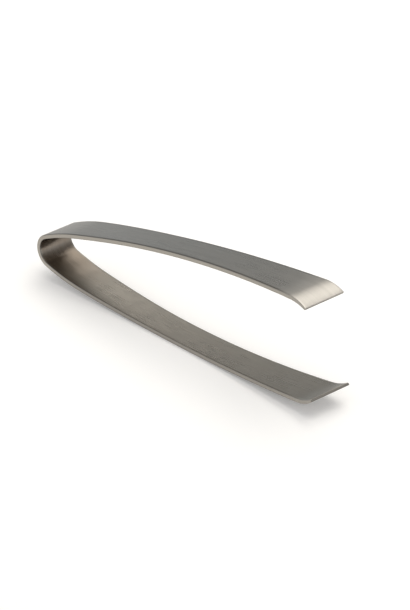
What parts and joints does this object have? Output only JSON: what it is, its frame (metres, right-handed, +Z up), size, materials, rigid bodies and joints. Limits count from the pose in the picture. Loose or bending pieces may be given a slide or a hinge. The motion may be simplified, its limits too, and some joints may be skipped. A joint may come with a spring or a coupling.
{
  "type": "fish bone tweezers",
  "caption": "Fish bone tweezers bent from a strip of brushed spring steel: a hairpin bow, arms that bow outwards and a waisted outline that flares to wide, turned-in jaws.",
  "frame": {"origin": "on the floor, under the middle of the tweezers' box, as they lie open on the belly of the lower arm", "axes": "+X from the bow to the jaws, +Y across the strip, +Z up"},
  "size_m": [0.1338, 0.017, 0.0409],
  "materials": {
    "brushed_strip": "brushed along the strip",
    "ground_jaw": "finely ground"
  },
  "bodies": {
    "bow": {"spring_bow": "brushed_strip"},
    "lower": {"lower_arm": "brushed_strip", "lower_jaw": "ground_jaw"},
    "upper": {"upper_arm": "brushed_strip", "upper_jaw": "ground_jaw"}
  },
  "joints": [
    {"name": "lower_flex", "type": "hinge", "parent": "bow", "child": "lower", "pos_m": [-0.04646, 0, 0.00282], "axis": [0, -1, 0], "range_deg": [0, 7.84], "stiffness_Nm_per_rad": 12},
    {"name": "upper_flex", "type": "hinge", "parent": "bow", "child": "upper", "pos_m": [-0.04825, 0, 0.02148], "axis": [0, 1, 0], "range_deg": [0, 7.84], "stiffness_Nm_per_rad": 12}
  ]
}
